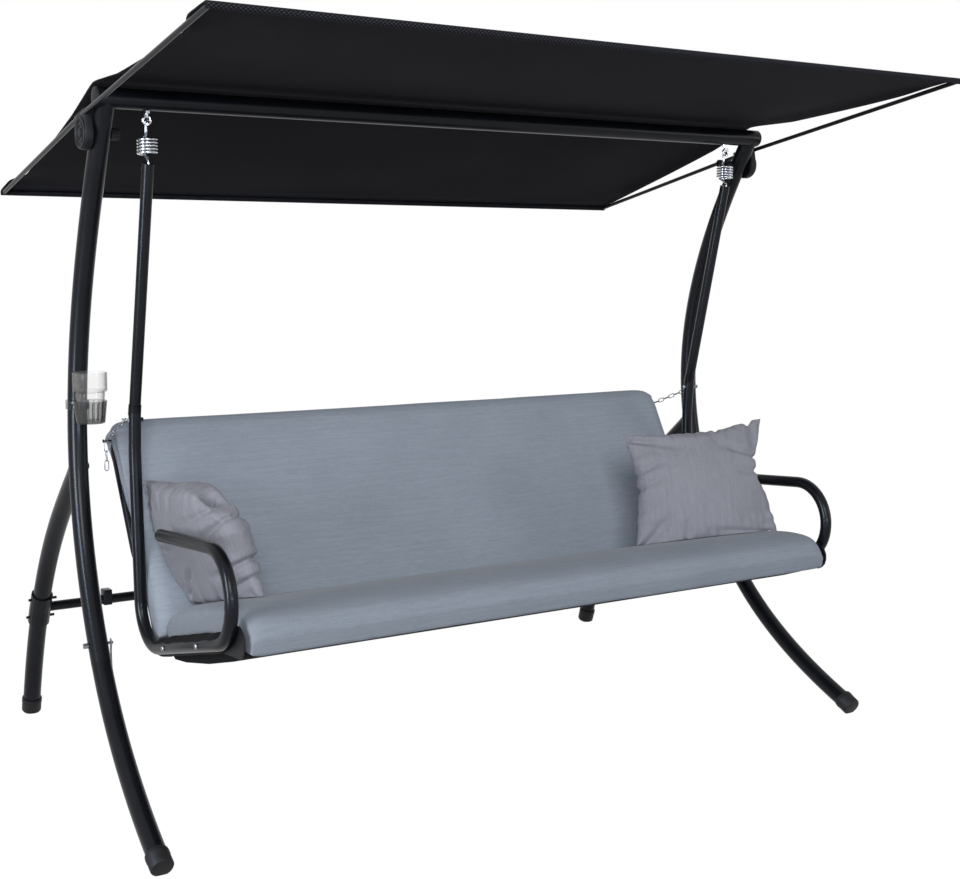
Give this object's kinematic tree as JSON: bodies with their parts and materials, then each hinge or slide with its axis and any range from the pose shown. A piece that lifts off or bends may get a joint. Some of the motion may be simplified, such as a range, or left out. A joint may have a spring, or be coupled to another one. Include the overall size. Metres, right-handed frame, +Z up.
{
  "type": "garden swing bench",
  "caption": "Garden swing bench with a reclining cushioned back, hung on coil springs from a bowed steel tube stand, under a tilting cloth canopy.",
  "frame": {"origin": "on the floor, under the middle of the whole outline", "axes": "+X along the top beam to the right as seen from the front, +Y to the back, +Z up; the bench faces -Y"},
  "size_m": [2.245, 1.6204, 1.8688],
  "materials": {
    "painted_steel": "semi-gloss anthracite powder coat",
    "black_plastic": "matt black moulding",
    "zinc_steel": "bright zinc plate",
    "chrome": "polished plate",
    "smoky_plastic": "clear smoky moulding",
    "clear_plastic": "clear glossy moulding",
    "black_webbing": "plain black woven web",
    "grey_cushion": "blue-grey melange weave",
    "black_cloth": "fine black canopy weave"
  },
  "bodies": {
    "stand": {"top_beam": "painted_steel", "beam_cap_left": "black_plastic", "beam_cap_right": "black_plastic", "front_leg_left": "painted_steel", "front_leg_right": "painted_steel", "front_foot_left": "painted_steel", "front_foot_right": "painted_steel", "rear_leg_left": "painted_steel", "rear_leg_right": "painted_steel", "front_foot_cap_left": "black_plastic", "front_foot_cap_right": "black_plastic", "rear_foot_cap_left": "black_plastic", "rear_foot_cap_right": "black_plastic", "foot_pin_left": "zinc_steel", "foot_pin_right": "zinc_steel", "pin_clip_left": "zinc_steel", "pin_clip_right": "zinc_steel", "crossbar_clamp_left": "painted_steel", "crossbar_clamp_right": "painted_steel", "rear_crossbar": "painted_steel", "eye_bolt_left": "chrome", "eye_bolt_right": "chrome", "cup_holder": "smoky_plastic"},
    "canopy": {"canopy_cloth": "black_cloth", "canopy_front_rod": "painted_steel", "canopy_rear_rod": "painted_steel", "front_side_rod_left": "painted_steel", "front_side_rod_right": "painted_steel", "rear_side_rod_left": "painted_steel", "rear_side_rod_right": "painted_steel", "tilt_hub_left": "black_plastic", "tilt_hub_right": "black_plastic"},
    "lever_left": {"tilt_lever_left": "black_plastic"},
    "lever_right": {"tilt_lever_right": "black_plastic"},
    "springs": {"hanging_spring_left": "chrome", "hanging_spring_right": "chrome"},
    "seat": {"hanger_left": "painted_steel", "hanger_right": "painted_steel", "arm_rail_left": "painted_steel", "arm_rail_right": "painted_steel", "arm_cap_left": "black_plastic", "arm_cap_right": "black_plastic", "chain_bolt_left": "chrome", "chain_bolt_right": "chrome", "seat_frame": "painted_steel", "seat_sling": "black_webbing", "seat_end_plate_left": "black_plastic", "seat_end_plate_right": "black_plastic", "seat_cushion": "grey_cushion", "pillow_left": "grey_cushion", "pillow_right": "grey_cushion"},
    "backrest": {"back_frame": "painted_steel", "back_sling": "black_webbing", "back_cushion": "grey_cushion"},
    "chain_left_body": {"chain_left": "zinc_steel"},
    "chain_right_body": {"chain_right": "zinc_steel"},
    "tail_left_body": {"chain_tail_left": "zinc_steel"},
    "tail_right_body": {"chain_tail_right": "zinc_steel"},
    "tumbler_body": {"tumbler": "clear_plastic"}
  },
  "joints": [
    {"name": "canopy_tilt", "type": "hinge", "parent": "stand", "child": "canopy", "pos_m": [0, 0.0165, 1.667], "axis": [1, 0, 0], "range_deg": [-20, 11]},
    {"name": "lever_turn_left", "type": "hinge", "parent": "canopy", "child": "lever_left", "pos_m": [0, 0.0165, 1.667], "axis": [1, 0, 0], "continuous": true},
    {"name": "lever_turn_right", "type": "hinge", "parent": "canopy", "child": "lever_right", "pos_m": [0, 0.0165, 1.667], "axis": [1, 0, 0], "continuous": true},
    {"name": "swing", "type": "hinge", "parent": "stand", "child": "springs", "pos_m": [0, -0.0385, 1.692], "axis": [1, 0, 0], "range_deg": [-15, 15]},
    {"name": "seat_bounce", "type": "slide", "parent": "springs", "child": "seat", "axis": [0, 0, 1], "range_m": [-0.03, 0], "stiffness_N_per_m": 60000, "springref_m": 0.01405, "deforming": ["hanging_spring_left", "hanging_spring_right"]},
    {"name": "backrest_recline", "type": "hinge", "parent": "seat", "child": "backrest", "pos_m": [0, 0.0245, 0.368], "axis": [-1, 0, 0], "range_deg": [0, 8.5]},
    {"name": "chain_turn_left", "type": "hinge", "parent": "seat", "child": "chain_left_body", "pos_m": [-0.9512, 0.1, 0.956], "axis": [-1, 0, 0], "range_deg": [0, 4]},
    {"name": "tail_turn_left", "type": "hinge", "parent": "chain_left_body", "child": "tail_left_body", "pos_m": [-0.938, 0.30711, 0.87471], "axis": [-1, 0, 0], "range_deg": [-62, 0]},
    {"name": "chain_turn_right", "type": "hinge", "parent": "seat", "child": "chain_right_body", "pos_m": [0.9512, 0.1, 0.956], "axis": [-1, 0, 0], "range_deg": [0, 4]},
    {"name": "tail_turn_right", "type": "hinge", "parent": "chain_right_body", "child": "tail_right_body", "pos_m": [0.938, 0.30711, 0.87471], "axis": [-1, 0, 0], "range_deg": [-62, 0]},
    {"name": "tumbler_lift", "type": "slide", "parent": "stand", "child": "tumbler_body", "axis": [0, -0.1392, 0.9903], "range_m": [0, 0.1]}
  ],
  "couplings": [
    {"joint": "chain_turn_left", "follows": "backrest_recline", "ratio": 0.4235},
    {"joint": "tail_turn_left", "follows": "backrest_recline", "ratio": -7.0588},
    {"joint": "chain_turn_right", "follows": "backrest_recline", "ratio": 0.4235},
    {"joint": "tail_turn_right", "follows": "backrest_recline", "ratio": -7.0588}
  ]
}
